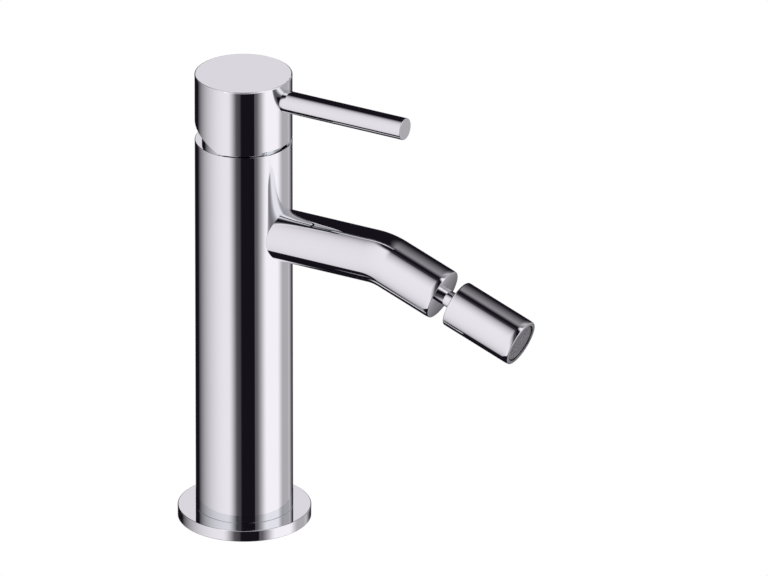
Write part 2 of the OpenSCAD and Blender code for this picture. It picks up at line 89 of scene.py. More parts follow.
class MixerShape(bpy.types.PropertyGroup):
    """Sizes of the pieces that are drawn here."""

    column_radius: length("Column", "Radius of the column's skin where the spout meets it", 17.525)
    spout_height: length("Spout height", "Height of the spout's axis", 113.5)
    spout_radius: length("Spout", "Radius of the spout", 9.5)
    spout_bore: length("Spout bore", "Radius of the spout's bore", 8)
    spout_reach: length("Reach", "From the column's axis to the corner of the bend", 57.6)
    bend: degrees("Bend", "Angle of the spout's bend", 20)
    bend_radius: length("Bend radius", "Radius of the bend at the spout's axis", 23)
    spout_leg: length("Leg", "From the corner of the bend to the spout's end", 26)
    spout_roll: length("Spout roll", "Length over which the spout rolls in at its end", 1.9)
    end_wall: length("End wall", "Thickness of the spout's end", 5)
    spigot_start: length("Spigot", "From the column's axis to the spigot's end", 8.5)
    spigot_radius: length("Spigot radius", "Radius of the spigot in the column", 6.4)
    spigot_bore: length("Spigot bore", "Radius of the spigot's bore", 3.8)
    spigot_groove: length("Spigot groove", "From the column's axis to the spigot's groove", 10.9)
    groove_width: length("Groove width", "Width of the spigot's groove", 1.3)
    groove_depth: length("Groove depth", "Depth of the spigot's groove", 1.15)
    spout_root: length("Root", "From the column's axis to the start of the spout's bore", 22.5)
    neck_hole: length("Neck hole", "Radius of the hole for the nozzle's neck", 3.05)
    neck_groove: length("Neck groove", "Radius of the groove for the neck's ring", 4.1)
    neck_groove_width: length("Neck groove width", "Width of the groove for the neck's ring", 1.2)
    ball_ahead: length("Ball", "From the spout's end to the centre of the ball", 12.5)
    roll_angle: degrees("Roll", "Angle at which a rolled end meets its flat face", 11)
    edge: length("Edge", "Radius on a broken edge", 0.25)
    nozzle_radius: length("Nozzle", "Radius of the nozzle", 8.75)
    nozzle_behind: length("Nozzle rear", "From the ball's centre back to the nozzle's rear", 6.5)
    nozzle_ahead: length("Nozzle front", "From the ball's centre to the nozzle's front", 21.7)
    nozzle_roll: length("Nozzle roll", "Length over which the nozzle rolls in at its front", 2)
    nozzle_rear_edge: length("Nozzle rear edge", "Radius on the nozzle's rear edge", 0.5)
    nozzle_bore: length("Nozzle bore", "Radius of the nozzle round its aerator", 7.25)
    nozzle_step: length("Nozzle step", "From the ball's centre to the step in the bore", 2.196)
    socket_radius: length("Socket", "Radius of the nozzle's ball socket", 7)
    socket_angle: degrees("Socket angle", "How far round the ball the socket reaches", 42)
    mouth_radius: length("Mouth", "Radius of the nozzle's mouth round the neck", 5.922)
    screen_ahead: length("Screen", "From the ball's centre to the aerator's screen", 21.1)
    screen_radius: length("Screen radius", "Radius of the aerator's screen", 6.75)
    screen_pitch: length("Screen pitch", "Distance between the wires of the screen", 0.26)
    wire_radius: length("Wire", "Radius of the screen's wires", 0.09)
    hoop_width: length("Hoop", "Width of the hoop round the screen", 0.3)
    hoop_depth: length("Hoop depth", "Depth of the hoop round the screen", 0.4)


class MixerFinish(bpy.types.PropertyGroup):
    """Colours of the mixer's finishes."""

    chrome: tint("Chrome", "Tint of the polished chrome", 0.83, 0.86, 0.87)
    chrome_roughness: bpy.props.FloatProperty(
        name="Polish", description="Roughness of clean chrome", subtype="FACTOR",
        default=0.015, min=0, max=1)
    brass: tint("Brass", "Colour of the bare brass", 0.80, 0.57, 0.26)
    steel: tint("Steel", "Colour of the stainless pieces", 0.395, 0.405, 0.41)
    rubber: tint("Rubber", "Colour of the seals", 0.018, 0.018, 0.02)
    plastic: tint("Cartridge plastic", "Colour of the cartridge's pieces", 0.70, 0.69, 0.66)
    dark_plastic: tint("Aerator plastic", "Colour of the aerator's pieces", 0.03, 0.03, 0.034)
    ceramic: tint("Ceramic", "Colour of the sealing discs", 0.82, 0.79, 0.72)


class MixerStudio(bpy.types.PropertyGroup):
    """Camera and light of the studio."""

    azimuth: degrees("Azimuth", "Where the camera stands round the mixer", 30.1)
    elevation: degrees("Elevation", "Height of the camera above the horizon", 24.13)
    distance: bpy.props.FloatProperty(
        name="Distance", description="From the camera to the picture's centre", unit="LENGTH",
        default=9.7, min=0.5)
    width: bpy.props.FloatProperty(
        name="Picture width", description="Width of the view at the mixer", unit="LENGTH",
        default=0.27568, min=0.05)
    across: bpy.props.FloatProperty(
        name="Across", description="Picture's centre to the right of the origin", unit="LENGTH",
        default=0.05007)
    above: bpy.props.FloatProperty(
        name="Above", description="Picture's centre above the origin", unit="LENGTH",
        default=0.08115)
    floor_size: bpy.props.FloatProperty(
        name="Floor", description="Side of the floor", unit="LENGTH", default=6.0, min=0.5)
    floor_white: bpy.props.FloatProperty(
        name="Floor white", description="Brightness of the floor and the backdrop",
        subtype="FACTOR", default=1.0, min=0, max=1)


# Node helpers

def new_material(name):
    """A material with an empty node tree, a Principled shader and Object coordinates."""
    material = bpy.data.materials.new(name)
    material.use_nodes = True
    nodes = material.node_tree.nodes
    nodes.clear()
    output = nodes.new("ShaderNodeOutputMaterial")
    shader = nodes.new("ShaderNodeBsdfPrincipled")
    place = nodes.new("ShaderNodeTexCoord")
    material.node_tree.links.new(shader.outputs["BSDF"], output.inputs["Surface"])
    return material, shader, place.outputs["Object"]


# What an effect gives to a material
EFFECT_OUTPUTS = (
    ("Color", "NodeSocketColor"),
    ("Roughness", "NodeSocketFloat"),
    ("Height", "NodeSocketFloat"),
)


def new_group(name, inputs):
    """A shader node group for an effect, with its own group input and output nodes."""
    group = bpy.data.node_groups.new(name, "ShaderNodeTree")
    for label, kind, default in inputs:
        socket = group.interface.new_socket(label, in_out="INPUT", socket_type=kind)
        if default is not None:
            socket.default_value = default
    for label, kind in EFFECT_OUTPUTS:
        group.interface.new_socket(label, in_out="OUTPUT", socket_type=kind)
    return group, group.nodes.new("NodeGroupInput"), group.nodes.new("NodeGroupOutput")


def put(tree, kind, links=(), **values):
    """A node of that kind, with its properties set and its inputs linked or given numbers."""
    node = tree.nodes.new(kind)
    for key, value in values.items():
        setattr(node, key, value)
    for key, value in links:
        if isinstance(value, bpy.types.NodeSocket):
            tree.links.new(value, node.inputs[key])
        else:
            node.inputs[key].default_value = value
    return node


def ramp(tree, value, low, high, out_low=0.0, out_high=1.0, smooth=True):
    """A number that goes from out_low to out_high while value goes from low to high."""
    kind = "SMOOTHSTEP" if smooth else "LINEAR"
    links = [("Value", value), ("From Min", low), ("From Max", high),
             ("To Min", out_low), ("To Max", out_high)]
    node = put(tree, "ShaderNodeMapRange", links, interpolation_type=kind)
    return node.outputs["Result"]


def math_node(tree, operation, *terms):
    """The result of a Math node on these sockets or numbers."""
    return put(tree, "ShaderNodeMath", enumerate(terms), operation=operation).outputs[0]


def noise(tree, vector, scale, detail):
    """The strength of a noise texture."""
    links = [("Vector", vector), ("Scale", scale), ("Detail", detail)]
    return put(tree, "ShaderNodeTexNoise", links).outputs["Fac"]


# Finishes

# Film on polished faces: the scale of its patches and of the fine marks, the noise between which
# each one comes up, how much the marks count, and how far the patches turn to the film's tint
FILM_SCALE, MARK_SCALE = 38, 900
FILM_RANGE, MARK_RANGE = (0.42, 0.72), (0.5, 0.8)
MARK_SHARE = 0.35
FILM_SHARE = 0.06
FILM_TINT = (0.8, 0.8, 0.82, 1)


def polish_haze():
    """Faint wiping marks and film on a polished face: a roughness and a tint."""
    group, given, out = new_group(
        "Polish haze",
        [("Vector", "NodeSocketVector", None), ("Tint", "NodeSocketColor", WHITE),
         ("Polish", "NodeSocketFloat", 0), ("Film", "NodeSocketFloat", 0)])
    vector = given.outputs["Vector"]
    marks = noise(group, vector, MARK_SCALE, detail=3)
    patches = ramp(group, noise(group, vector, FILM_SCALE, detail=4), *FILM_RANGE)
    fine = math_node(group, "MULTIPLY", ramp(group, marks, *MARK_RANGE), MARK_SHARE)
    haze = math_node(group, "ADD", patches, fine)
    rough = math_node(group, "MULTIPLY_ADD", haze, given.outputs["Film"], given.outputs["Polish"])
    tone = put(group, "ShaderNodeMix", data_type="RGBA", blend_type="MULTIPLY")
    group.links.new(math_node(group, "MULTIPLY", patches, FILM_SHARE), tone.inputs["Factor"])
    group.links.new(given.outputs["Tint"], tone.inputs["A"])
    tone.inputs["B"].default_value = FILM_TINT
    group.links.new(tone.outputs["Result"], out.inputs["Color"])
    group.links.new(rough, out.inputs["Roughness"])
    group.links.new(marks, out.inputs["Height"])
    return group


# Clouds in the grain of other faces: their scale, and the strength between which they mottle
CLOUD_SCALE = 70
MOTTLE_RANGE = (0.12, 0.42)


def fine_grain():
    """Grain of moulded, sintered or turned faces: a mottled colour, a roughness and a height."""
    group, given, out = new_group(
        "Fine grain",
        [("Vector", "NodeSocketVector", None), ("Tint", "NodeSocketColor", WHITE),
         ("Shade", "NodeSocketColor", WHITE), ("Scale", "NodeSocketFloat", 0),
         ("Mottle", "NodeSocketFloat", 0), ("Smooth", "NodeSocketFloat", 0),
         ("Spread", "NodeSocketFloat", 0)])
    vector = given.outputs["Vector"]
    grain = noise(group, vector, given.outputs["Scale"], detail=5)
    mixed = math_node(group, "MULTIPLY", grain, noise(group, vector, CLOUD_SCALE, detail=3))
    mottle = ramp(group, mixed, *MOTTLE_RANGE)
    amount = math_node(group, "MULTIPLY", mottle, given.outputs["Mottle"])
    tone = put(group, "ShaderNodeMix", data_type="RGBA")
    group.links.new(amount, tone.inputs["Factor"])
    group.links.new(given.outputs["Tint"], tone.inputs["A"])
    group.links.new(given.outputs["Shade"], tone.inputs["B"])
    rough = math_node(group, "MULTIPLY_ADD", grain, given.outputs["Spread"],
                      given.outputs["Smooth"])
    group.links.new(tone.outputs["Result"], out.inputs["Color"])
    group.links.new(rough, out.inputs["Roughness"])
    group.links.new(grain, out.inputs["Height"])
    return group


def use_group(material, shader, vector, group, depth, **values):
    """Places an effect in a material and links its colour, roughness and height."""
    tree = material.node_tree
    node = put(tree, "ShaderNodeGroup", node_tree=group)
    tree.links.new(vector, node.inputs["Vector"])
    for key, value in values.items():
        node.inputs[key.capitalize()].default_value = value
    bump = put(tree, "ShaderNodeBump",
               [("Strength", 1), ("Distance", depth), ("Height", node.outputs["Height"])])
    tree.links.new(node.outputs["Color"], shader.inputs["Base Color"])
    tree.links.new(node.outputs["Roughness"], shader.inputs["Roughness"])
    tree.links.new(bump.outputs["Normal"], shader.inputs["Normal"])


def effect(name):
    """The shared node group of that name, built the first time it is asked for."""
    makers = {"Polish haze": polish_haze, "Fine grain": fine_grain}
    return bpy.data.node_groups.get(name) or makers[name]()


# Chrome's title, how much its film roughens it, and the depth of its marks in metres
CHROME = "Polished chrome"
CHROME_FILM = 0.012
CHROME_MARKS = 1e-8


def chrome_finish():
    """Polished chrome with a trace of film on it."""
    look = bpy.context.scene.mixer_finish
    material, shader, vector = new_material(CHROME)
    shader.inputs["Metallic"].default_value = 1
    use_group(material, shader, vector, effect("Polish haze"), CHROME_MARKS,
              tint=look.chrome, polish=look.chrome_roughness, film=CHROME_FILM)
    return material


# Finishes with grain: title, colour of the mottling, metallic, depth of the grain in metres, and
# the grain's scale, mottling, least roughness and spread of roughness
GRAINED = {
    "brass": ("Bare brass", (0.55, 0.33, 0.12, 1), 1, 2e-6, 700, 0.35, 0.22, 0.2),
    "steel": ("Stainless steel", (0.32, 0.33, 0.335, 1), 1, 1e-6, 1200, 0.3, 0.38, 0.2),
    "rubber": ("Seal rubber", (0.05, 0.05, 0.052, 1), 0, 6e-6, 1600, 0.4, 0.55, 0.25),
    "plastic": ("Cartridge plastic", (0.55, 0.54, 0.5, 1), 0, 4e-6, 900, 0.25, 0.35, 0.2),
    "dark_plastic": ("Aerator plastic", (0.07, 0.07, 0.075, 1), 0, 4e-6, 1100, 0.3, 0.4, 0.2),
    "ceramic": ("Sintered ceramic", (0.62, 0.58, 0.5, 1), 0, 1e-6, 2600, 0.5, 0.12, 0.12),
}


def grained_finish(name):
    """A moulded, sintered or bare metal finish with grain."""
    title, shade, metallic, depth, scale, mottle, smooth, spread = GRAINED[name]
    colour = getattr(bpy.context.scene.mixer_finish, name)
    material, shader, vector = new_material(title)
    shader.inputs["Metallic"].default_value = metallic
    use_group(material, shader, vector, effect("Fine grain"), depth, tint=colour, shade=shade,
              scale=scale, mottle=mottle, smooth=smooth, spread=spread)
    return material


def finish(name):
    """The material of that finish, built the first time it is asked for."""
    title = CHROME if name == "chrome" else GRAINED[name][0]
    if title in bpy.data.materials:
        return bpy.data.materials[title]
    return chrome_finish() if name == "chrome" else grained_finish(name)


def dress(name, *nodes):
    """Gives CAD nodes one of the finishes."""
    material = finish(name)
    for node in nodes:
        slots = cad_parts[node].material_slots
        if not slots:
            raise RuntimeError("%s has no material slot" % node)
        for slot in slots:
            slot.material = material


# Drawing

class Drawn:
    """A hollow piece that one ring of edges is drawn out into, along an axis that may bend."""

    def __init__(self, centre, axis, radius, segments=SEGMENTS):
        self.shape = bmesh.new()
        self.centre, self.axis, self.radius = centre.copy(), axis.normalized(), radius
        place = Matrix.Translation(centre) @ axis.to_track_quat("Z", "Y").to_matrix().to_4x4()
        bmesh.ops.create_circle(self.shape, segments=segments, radius=radius, matrix=place)
        self.first = self.ring = self.shape.edges[:]

    def to(self, distance, radius=None, aside=None):
        """Draws the ring along the axis, to a new radius, and aside where that is given."""
        made = bmesh.ops.extrude_edge_only(self.shape, edges=self.ring)["geom"]
        verts = [item for item in made if isinstance(item, bmesh.types.BMVert)]
        edges = [item for item in made if isinstance(item, bmesh.types.BMEdge)]
        fresh = set(verts)
        self.ring = [edge for edge in edges if fresh.issuperset(edge.verts)]
        step = distance * self.axis + (aside or Vector())
        if radius is not None:
            grow = radius / self.radius
            bmesh.ops.scale(self.shape, verts=verts, vec=(grow, grow, grow),
                            space=Matrix.Translation(-self.centre))
            self.radius = radius
        bmesh.ops.translate(self.shape, verts=verts, vec=step)
        self.centre += step

    def skin(self, distance):
        """Draws the ring along a long skin, with a holding ring at both ends."""
        for part in (HOLD, distance - 2 * HOLD, HOLD):
            self.to(part)

    def arc(self, radius, start, end, steps=ARC_STEPS):
        """Draws the ring along an arc, between angles counted from the radius to the axis."""
        base = self.radius - radius * math.cos(start)
        before = start
        for step in range(steps):
            angle = start + (end - start) * (step + 1) / steps
            self.to(radius * (math.sin(angle) - math.sin(before)), base + radius * math.cos(angle))
            before = angle

    def rolled_end(self, depth, meets, edge):
        """Rolls the ring in along an arc to a broken edge, ready for the flat face."""
        sweep = depth / math.sin(meets)
        turn = math.asin((depth - edge) / (sweep - edge))
        self.arc(sweep, 0, turn, 2 * ARC_STEPS)
        self.arc(edge, turn, math.radians(RIGHT_ANGLE))

    def bend(self, centre, axis, angle, steps):
        """Draws the ring round a bend."""
        made = bmesh.ops.spin(
            self.shape, geom=self.ring, cent=centre, axis=axis, angle=angle, steps=steps,
            use_merge=False, use_duplicate=False)["geom_last"]
        self.ring = [item for item in made if isinstance(item, bmesh.types.BMEdge)]
        turn = Matrix.Rotation(angle, 3, axis)
        self.centre = centre + turn @ (self.centre - centre)
        self.axis = turn @ self.axis

    def join(self):
        """Closes the piece by joining its last ring to its first."""
        bmesh.ops.bridge_loops(self.shape, edges=self.first + self.ring)
        return self.shape

    def cap(self):
        """Closes the piece by filling its first and its last ring."""
        for ring in (self.first, self.ring):
            bmesh.ops.edgeloop_fill(self.shape, edges=ring)
        return self.shape


def gather(shapes):
    """One shape that holds all of these."""
    whole = bmesh.new()
    for shape in shapes:
        mesh = bpy.data.meshes.new("gathered")
        shape.to_mesh(mesh)
        shape.free()
        whole.from_mesh(mesh)
        bpy.data.meshes.remove(mesh)
    return whole


def place_piece(name, shape, body, slot, *nodes):
    """Makes a shape a piece of the mixer, on a body, in place of CAD nodes."""
    bmesh.ops.recalc_face_normals(shape, faces=shape.faces)
    for face in shape.faces:
        face.smooth = True
    for edge in shape.edges:
        edge.smooth = edge.calc_face_angle() < CRISP
    mesh = bpy.data.meshes.new(name)
    shape.to_mesh(mesh)
    shape.free()
    mesh.materials.append(finish(slot))
    piece = bpy.data.objects.new(name, mesh)
    bpy.context.collection.objects.link(piece)
    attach(piece, body)
    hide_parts(*nodes)


def spout_axis(size):
    """Direction of the spout after its bend."""
    return Matrix.Rotation(size.bend, 3, "Y") @ Vector((1, 0, 0))


def ball_centre(size):
    """Centre of the ball that the nozzle swings on."""
    corner = Vector((size.spout_reach, 0, size.spout_height))
    return corner + (size.spout_leg + size.ball_ahead) * spout_axis(size)


# Pieces

BEND_STEPS = 32


def draw_spout(size):
    """The spout with its spigot, its bend and its rolled end, as one smooth skin."""
    across = Vector((0, 1, 0))
    tangent = size.bend_radius * math.tan(size.bend / 2)
    bend_x = size.spout_reach - tangent
    pivot = Vector((bend_x, 0, size.spout_height - size.bend_radius))
    leg = size.spout_leg - tangent
    root = Vector((size.column_radius, 0, size.spout_height))
    spout = Drawn(root, Vector((1, 0, 0)), size.spout_radius)
    spout.to(bend_x - size.column_radius - HOLD)
    spout.to(HOLD)
    spout.bend(pivot, across, size.bend, BEND_STEPS)
    spout.skin(leg - size.spout_roll)
    spout.rolled_end(size.spout_roll, size.roll_angle, size.edge)
    spout.to(0, size.neck_hole)
    land = (size.end_wall - size.neck_groove_width) / 2
    spout.to(-land)
    spout.to(0, size.neck_groove)
    spout.to(-size.neck_groove_width)
    spout.to(0, size.neck_hole)
    spout.to(-land)
    spout.to(0, size.spout_bore)
    spout.to(size.end_wall - leg)
    spout.bend(pivot, across, -size.bend, BEND_STEPS)
    spout.to(size.spout_root - bend_x)
    spout.to(0, size.spigot_bore)
    spout.to(size.spigot_start - size.spout_root)
    spout.to(0, size.spigot_radius)
    spout.to(size.spigot_groove - size.groove_width / 2 - size.spigot_start)
    spout.to(0, size.spigot_radius - size.groove_depth)
    spout.to(size.groove_width)
    spout.to(0, size.spigot_radius)
    spout.to(size.column_radius - size.spigot_groove - size.groove_width / 2)
    shape = spout.join()
    # The spout's root is cut to the column's round skin
    for edge in spout.first + spout.ring:
        for vert in edge.verts:
            vert.co.x = math.sqrt(size.column_radius ** 2 - vert.co.y ** 2)
    return shape


class MIXER_OT_body(bpy.types.Operator):
    """Chrome of the plate, the column and the ball stud, and the spout"""

    bl_idname = "mixer.body"
    bl_label = "Body"

    def execute(self, context):
        dress("chrome", "base_plate", "body_column", "ball_stud", "dome_collar")
        place_piece("spout", draw_spout(context.scene.mixer_shape), "body", "chrome", "spout_tube")
        return {"FINISHED"}


class MIXER_OT_handle(bpy.types.Operator):
    """Chrome of the cap and its rod lever, and the steel that holds them"""

    bl_idname = "mixer.handle"
    bl_label = "Handle"

    def execute(self, context):
        dress("chrome", "handle_cap", "lever_rod")
        dress("steel", "spindle", "grub_screw", "pivot_pin")
        dress("plastic", "spindle_adaptor")
        return {"FINISHED"}


def draw_nozzle(size):
    """The nozzle's shell: its mouth round the neck, its rolled front and the ball's socket."""
    axis = spout_axis(size)
    rear = ball_centre(size) - size.nozzle_behind * axis
    shell = Drawn(rear, axis, size.mouth_radius)
    shell.to(0, size.nozzle_radius - size.nozzle_rear_edge)
    shell.arc(size.nozzle_rear_edge, math.radians(-RIGHT_ANGLE), 0)
    shell.skin(size.nozzle_behind - size.nozzle_rear_edge + size.nozzle_ahead - size.nozzle_roll)
    shell.rolled_end(size.nozzle_roll, size.roll_angle, size.edge)
    shell.to(0, size.nozzle_bore)
    shell.to(size.nozzle_step - size.nozzle_ahead)
    shell.to(0, size.socket_radius)
    shell.to(-size.nozzle_step)
    shell.arc(size.socket_radius, 0, -size.socket_angle, 2 * ARC_STEPS)
    return shell.join()


WIRE_SIDES = 6


def draw_wire(start, along, lift, pitch, count, first_up, radius):
    """One woven wire: over and under the wires that it crosses."""
    wire = Drawn(start, along, radius, WIRE_SIDES)
    height = 0
    for step in range(2 * count):
        crossing = step // 2 + first_up
        target = 0 if step % 2 else (radius if crossing % 2 else -radius)
        wire.to(pitch / 2, aside=(target - height) * lift)
        height = target
    return wire.cap()


def draw_screen(size):
    """The aerator's screen: woven wire in a thin hoop."""
    axis = spout_axis(size)
    centre = ball_centre(size) + size.screen_ahead * axis
    across = Vector((0, 1, 0))
    hoop = Drawn(centre - size.hoop_depth / 2 * axis, axis, size.screen_radius)
    hoop.to(size.hoop_depth)
    hoop.to(0, size.screen_radius - size.hoop_width)
    hoop.to(-size.hoop_depth)
    shapes = [hoop.join()]
    inner = size.screen_radius - size.hoop_width / 2
    rows = int(inner / size.screen_pitch)
    for along, side, odd in ((across, axis.cross(across), 0), (axis.cross(across), across, 1)):
        for row in range(-rows, rows + 1):
            off = row * size.screen_pitch
            half = int(math.sqrt(inner ** 2 - off ** 2) / size.screen_pitch + 0.5)
            start = centre + off * side - half * size.screen_pitch * along
            shapes.append(draw_wire(start, along, axis, size.screen_pitch, 2 * half,
                                    row + half + odd, size.wire_radius))
    return gather(shapes)


class MIXER_OT_nozzle(bpy.types.Operator):
    """Chrome shell of the nozzle, with its seats and its aerator"""

    bl_idname = "mixer.nozzle"
    bl_label = "Nozzle"

    def execute(self, context):
        size = context.scene.mixer_shape
        place_piece("shell", draw_nozzle(size), "nozzle", "chrome", "nozzle_shell")
        place_piece("screen", draw_screen(size), "nozzle", "steel", "aerator_mesh")
        dress("dark_plastic", "aerator_housing", "jet_disc", "rear_seat")
        dress("brass", "seat_ring")
        return {"FINISHED"}


class MIXER_OT_cartridge(bpy.types.Operator):
    """Plastic, ceramic and brass of the cartridge"""

    bl_idname = "mixer.cartridge"
    bl_label = "Cartridge"

    def execute(self, context):
        dress("plastic", "cartridge_base", "cartridge_housing", "stem_guide", "disc_carrier")
        dress("ceramic", "fixed_disc", "moving_disc")
        dress("brass", "cartridge_nut")
        return {"FINISHED"}


class MIXER_OT_seals(bpy.types.Operator):
    """Rubber of the gasket, rings and washers"""

    bl_idname = "mixer.seals"
    bl_label = "Seals"

    def execute(self, context):
        dress("rubber", "base_gasket", "column_oring", "spout_oring", "stud_oring",
              "cartridge_seals", "front_seal", "aerator_washer")
        return {"FINISHED"}


# Studio

def picture_axes(stand):
    """Directions to the right, up and back towards the camera."""
    turn, lift = stand.azimuth, stand.elevation
    right = Vector((math.cos(turn), math.sin(turn), 0))
    back = Vector((math.sin(turn) * math.cos(lift), -math.cos(turn) * math.cos(lift),
                   math.sin(lift)))
    return right, back.cross(right), back


# Width of the camera's sensor in millimetres, and how many times its distance it sees
SENSOR = 36.0
CLIP = 4


def add_camera(stand):
    """A long lens at the photograph's viewing angle."""
    right, up, back = picture_axes(stand)
    data = bpy.data.cameras.new("Camera")
    data.sensor_width = SENSOR
    data.lens = SENSOR * stand.distance / stand.width
    data.clip_end = CLIP * stand.distance
    camera = bpy.data.objects.new("Camera", data)
    centre = stand.across * right + stand.above * up
    turn = Matrix((right, up, back)).transposed()
    camera.matrix_world = Matrix.Translation(centre + stand.distance * back) @ turn.to_4x4()
    bpy.context.collection.objects.link(camera)
    bpy.context.scene.camera = camera


# Light panels round the mixer, in degrees to the right of the camera: where each one starts, is
# full, begins to fade and ends, and its brightness
PANELS = (
    (-17, -14, -10, -4.5, 0.055),  # Dim strip
    (24.5, 27, 34, 46, 0.10),  # Edge of the key
    (29, 57, 85, 106, 0.93),  # Key
)
# Where the panels end above, in degrees above the horizon
PANEL_TOP = (74, 85)
# Fill panels on the far right. They lean from a height on, by a share of what is above it, and dim
# towards their top
FILLS = (
    (86, 106, 128, 161, 0.41),  # Fill
    (127, 131, 134, 146, 0.10),  # Edge of the fill
)
FILL_LEAN = (-24, 0.06)
FILL_TOP = (46, 86)
# White wall on the left: its middle, how fast it dims away from there, the dark flag that ends it
# and how that leans, its end above, and its brightness
WALL_CENTRE = -39
WALL_SPREAD = 0.93
WALL_FLAG = (-38.6, -12.1)
WALL_LEAN = 0.03
WALL_TOP = (69, 80.5)
WALL_BRIGHT = 0.825
# The wall goes on past the back to here, though the angle starts again at the other end
WALL_BACK = 170
# Where the wall and the panels end below the horizon
WALL_LOW = (-52.9, -51.3)
PANEL_LOW = (-58, -53)
# Bright sweep behind the mixer, which its edges mirror: its brightness, and where it fades and
# ends, in degrees from the view's direction
SWEEP_BRIGHT = 0.34
SWEEP_SIZE = (6, 15)
# Colour of the dark studio, and of its lights at a brightness of 1
DARK = (0.0090, 0.0069, 0.0117)
TINT = (1.157, 1.077, 1.143)


def add_world(stand):
    """A dark studio with a large white wall on the left, panels on the right and a sweep behind."""
    world = bpy.data.worlds.new("Studio")
    bpy.context.scene.world = world
    world.use_nodes = True
    tree = world.node_tree
    tree.nodes.clear()
    sky = put(tree, "ShaderNodeTexCoord")
    turn = math.radians(RIGHT_ANGLE) - stand.azimuth
    turned = put(tree, "ShaderNodeVectorRotate",
                 [("Vector", sky.outputs["Generated"]), ("Angle", turn)], rotation_type="Z_AXIS")
    axis = put(tree, "ShaderNodeSeparateXYZ", [("Vector", turned.outputs["Vector"])])
    around = math_node(tree, "ARCTAN2", axis.outputs["Y"], axis.outputs["X"])
    side = math_node(tree, "DEGREES", around)
    height = math_node(tree, "DEGREES", math_node(tree, "ARCSINE", axis.outputs["Z"]))

    past = math_node(tree, "GREATER_THAN", side, WALL_BACK)
    beyond = math_node(tree, "MULTIPLY_ADD", past, -FULL_TURN, side)
    off = math_node(tree, "MULTIPLY", math_node(tree, "SUBTRACT", beyond, WALL_CENTRE), WALL_SPREAD)
    near = math_node(tree, "MINIMUM", math_node(tree, "ABSOLUTE", off), RIGHT_ANGLE)
    dimmed = math_node(tree, "COSINE", math_node(tree, "RADIANS", near))
    wall = math_node(tree, "MULTIPLY", dimmed, WALL_BRIGHT)
    lean = math_node(tree, "MULTIPLY_ADD", height, WALL_LEAN, side)
    wall = math_node(tree, "MULTIPLY", wall, ramp(tree, lean, *WALL_FLAG, 1, 0))
    wall = math_node(tree, "MULTIPLY", wall, ramp(tree, height, *WALL_TOP, 1, 0))
    light = math_node(tree, "MULTIPLY", wall, ramp(tree, height, *WALL_LOW))

    low, slope = FILL_LEAN
    risen = math_node(tree, "SUBTRACT", height, low)
    leaning = math_node(tree, "MULTIPLY_ADD", risen, -slope, side)
    dimming = ramp(tree, height, *FILL_TOP, smooth=False)
    fill_top = math_node(tree, "SUBTRACT", 1, math_node(tree, "MULTIPLY", dimming, dimming))
    panel_top = ramp(tree, height, *PANEL_TOP, 1, 0)
    panel_low = ramp(tree, height, *PANEL_LOW)
    for panels, place, top in ((PANELS, side, panel_top), (FILLS, leaning, fill_top)):
        upright = math_node(tree, "MULTIPLY", top, panel_low)
        for start, full, fade, end, bright in panels:
            panel = math_node(tree, "MULTIPLY", ramp(tree, place, start, full, 0, bright),
                              ramp(tree, place, fade, end, 1, 0))
            light = math_node(tree, "MULTIPLY_ADD", panel, upright, light)

    away = put(tree, "ShaderNodeVectorMath", operation="DOT_PRODUCT")
    tree.links.new(turned.outputs["Vector"], away.inputs[0])
    away.inputs[1].default_value = (-math.cos(stand.elevation), 0, -math.sin(stand.elevation))
    angle = math_node(tree, "DEGREES", math_node(tree, "ARCCOSINE", away.outputs["Value"]))
    sweep = ramp(tree, angle, *SWEEP_SIZE, SWEEP_BRIGHT, 0)
    light = math_node(tree, "ADD", light, sweep)
    colour = put(tree, "ShaderNodeVectorMath", [(0, light), (1, TINT), (2, DARK)],
                 operation="MULTIPLY_ADD")

    rays = put(tree, "ShaderNodeLightPath")
    seen = put(tree, "ShaderNodeBackground", [("Color", WHITE), ("Strength", stand.floor_white)])
    lit = put(tree, "ShaderNodeBackground", [("Color", colour.outputs["Vector"])])
    mixed = put(tree, "ShaderNodeMixShader", [("Fac", rays.outputs["Is Camera Ray"])])
    tree.links.new(lit.outputs["Background"], mixed.inputs[1])
    tree.links.new(seen.outputs["Background"], mixed.inputs[2])
    output = put(tree, "ShaderNodeOutputWorld")
    tree.links.new(mixed.outputs["Shader"], output.inputs["Surface"])


# White cards behind the mixer, one for each flat face that looks up: the CAD node whose top it
# lights, and how far it reaches past that face to both sides. Each reaches a little below what the
# face mirrors and far up, so that the face's rounded rim is bright too. Lengths are in metres
CARDS = (
    ("cap", "handle_cap", 100 * MM),
    ("column", "body_column", 6 * MM),
    ("plate", "base_plate", 6 * MM),
)
CARD_AWAY = 0.25
CARD_MARGIN = 6 * MM
CARD_RISE = 0.4
CARD_BRIGHT = 0.71
# Cards for other views than the photograph's, in front of the mixer and below it: the CAD nodes
# that each one lights, its middle in degrees to the right of the camera and up as seen from the top
# of the first one, and its width and height
SIDE_CARDS = (
    ("cap, front", ("handle_cap",), 5, 19, 1.8, 0.47),
    ("plate, front", ("base_plate",), 5, 19, 1.8, 0.47),
    ("below, left", ("body_column", "handle_cap"), -90, -62, 1.1, 0.7),
    ("below, right", ("body_column", "handle_cap"), 90, -62, 0.8, 0.7),
)
SIDE_AWAY = 1.0
# Reflections up to this depth show a side card: those in its own nodes, but not their mirror images
SIDE_DEPTH = 2.5


